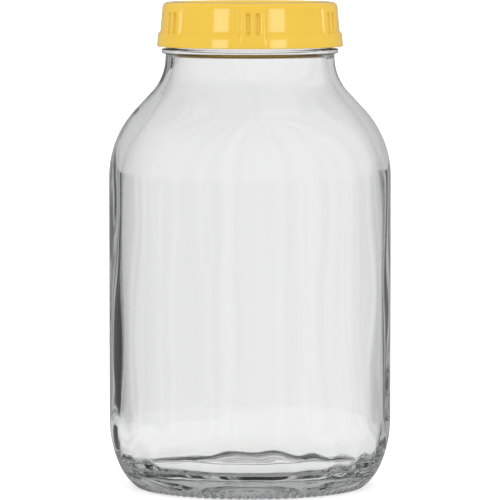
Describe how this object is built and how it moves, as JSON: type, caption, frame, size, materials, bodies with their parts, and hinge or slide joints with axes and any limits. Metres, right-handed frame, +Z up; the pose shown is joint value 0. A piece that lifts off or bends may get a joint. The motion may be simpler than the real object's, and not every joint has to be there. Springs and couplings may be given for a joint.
{
  "type": "twist-off jar",
  "caption": "Wide-mouth clear glass preserving jar with rounded shoulder and heel, closed by a ribbed screw lid in yellow plastic.",
  "frame": {"origin": "centre of the base on the resting plane", "axes": "+Z up along the jar's axis, -Y towards the viewer, +X to the viewer's right"},
  "size_m": [0.16, 0.16, 0.2752],
  "materials": {
    "clear_glass": "clear soda-lime glass, polished, slightly uneven inside",
    "yellow_plastic": "glossy moulded plastic, warm yellow"
  },
  "bodies": {
    "root": {"glass_jar": "clear_glass", "lid": "yellow_plastic"}
  },
  "joints": []
}
